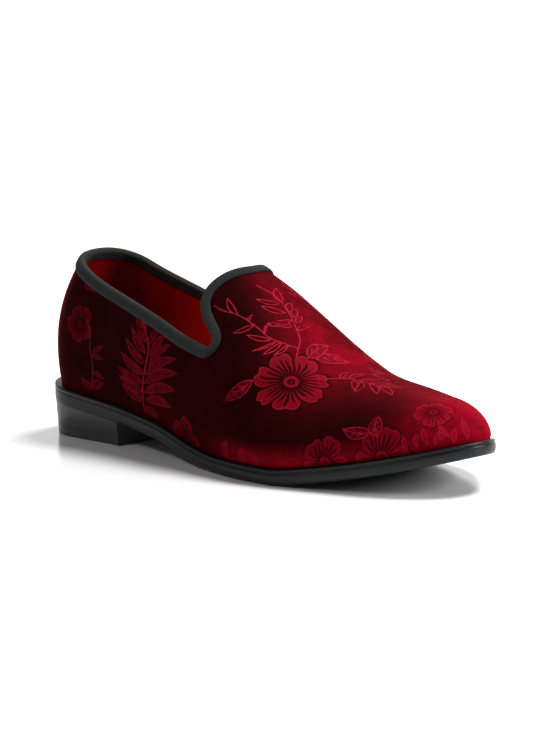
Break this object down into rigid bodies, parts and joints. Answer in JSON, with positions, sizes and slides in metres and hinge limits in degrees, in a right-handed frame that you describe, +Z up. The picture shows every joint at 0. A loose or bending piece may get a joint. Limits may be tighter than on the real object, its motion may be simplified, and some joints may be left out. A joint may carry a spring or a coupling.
{
  "type": "velvet slipper loafer",
  "caption": "Slip-on dress shoe for the right foot: pressed-floral velvet upper with bound collar on a thin rubber sole with a low block heel.",
  "frame": {"origin": "on the floor under the middle of the sole's length and width", "axes": "+X to the toe, +Y to the medial side, +Z up"},
  "size_m": [0.3, 0.102, 0.0993],
  "materials": {
    "velvet": "dark crimson velvet with a lighter pressed floral pattern",
    "binding_tape": "charcoal ribbed tape, matt",
    "sock_lining": "dark red cloth lining, matt",
    "sole_rubber": "black rubber, satin side",
    "heel_rubber": "black rubber, satin"
  },
  "bodies": {
    "root": {"upper": "velvet", "collar_binding": "binding_tape", "insole": "sock_lining", "outsole": "sole_rubber", "heel": "heel_rubber", "heel_top_lift": "heel_rubber"}
  },
  "joints": []
}
